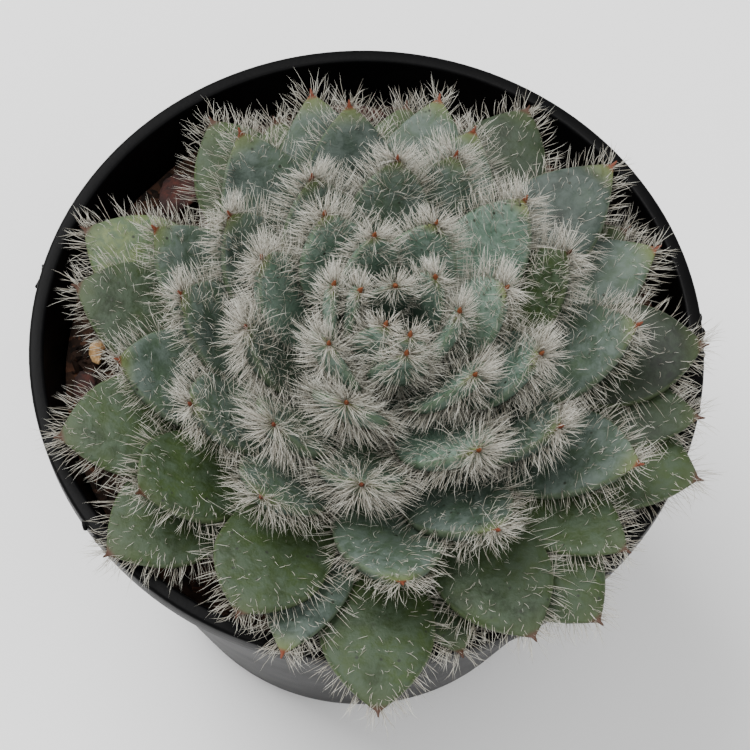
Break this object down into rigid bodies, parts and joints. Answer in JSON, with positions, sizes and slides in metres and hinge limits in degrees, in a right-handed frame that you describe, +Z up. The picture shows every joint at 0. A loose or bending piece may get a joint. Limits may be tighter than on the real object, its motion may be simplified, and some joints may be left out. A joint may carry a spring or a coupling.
{
  "type": "potted succulent",
  "caption": "Hairy rosette succulent with thick pointed leaves, growing in a thin black tapered nursery pot with a rolled lip and drain holes.",
  "frame": {"origin": "centre of the pot's underside, on the surface that the pot stands on", "axes": "+Z up along the pot's axis; +X to the plant's right and -Y to its front"},
  "size_m": [0.105, 0.1139, 0.1042],
  "materials": {
    "pot": "moulded, slight sheen",
    "soil": "loose dark potting mix",
    "bark": "rough",
    "wood_chip": "rough",
    "pebble": "worn smooth",
    "stem": "matt skin",
    "heart_leaf": "waxy bloom under white hairs",
    "middle_leaf": "waxy bloom under white hairs",
    "outer_leaf": "satin skin with scattered hairs"
  },
  "bodies": {
    "root": {"pot": "pot", "soil": "soil", "stem_with_bud": "stem", "bark_chip_back": "bark", "bark_chip_left": "bark", "bark_chip_side": "bark", "wood_chip": "wood_chip", "pebble": "pebble", "leaf_01": "heart_leaf", "leaf_02": "heart_leaf", "leaf_03": "heart_leaf", "leaf_04": "heart_leaf", "leaf_05": "heart_leaf", "leaf_06": "heart_leaf", "leaf_07": "heart_leaf", "leaf_08": "heart_leaf", "leaf_09": "heart_leaf", "leaf_10": "heart_leaf", "leaf_11": "middle_leaf", "leaf_12": "middle_leaf", "leaf_13": "middle_leaf", "leaf_14": "middle_leaf", "leaf_15": "middle_leaf", "leaf_16": "middle_leaf", "leaf_17": "middle_leaf", "leaf_18": "middle_leaf", "leaf_19": "middle_leaf", "leaf_20": "middle_leaf", "leaf_21": "middle_leaf", "leaf_22": "middle_leaf", "leaf_23": "middle_leaf", "leaf_24": "middle_leaf", "leaf_25": "outer_leaf", "leaf_26": "outer_leaf", "leaf_27": "outer_leaf", "leaf_28": "outer_leaf", "leaf_29": "outer_leaf", "leaf_30": "outer_leaf", "leaf_31": "outer_leaf", "leaf_32": "outer_leaf", "leaf_33": "outer_leaf", "leaf_34": "outer_leaf", "leaf_35": "outer_leaf", "leaf_36": "outer_leaf", "leaf_37": "outer_leaf", "leaf_38": "outer_leaf", "leaf_39": "outer_leaf", "leaf_40": "outer_leaf", "leaf_41": "outer_leaf", "leaf_42": "outer_leaf", "leaf_43": "outer_leaf", "leaf_44": "outer_leaf", "leaf_45": "outer_leaf", "leaf_46": "outer_leaf", "leaf_47": "outer_leaf", "leaf_48": "outer_leaf", "leaf_49": "outer_leaf", "leaf_50": "outer_leaf", "leaf_51": "outer_leaf", "leaf_52": "outer_leaf"}
  },
  "joints": []
}
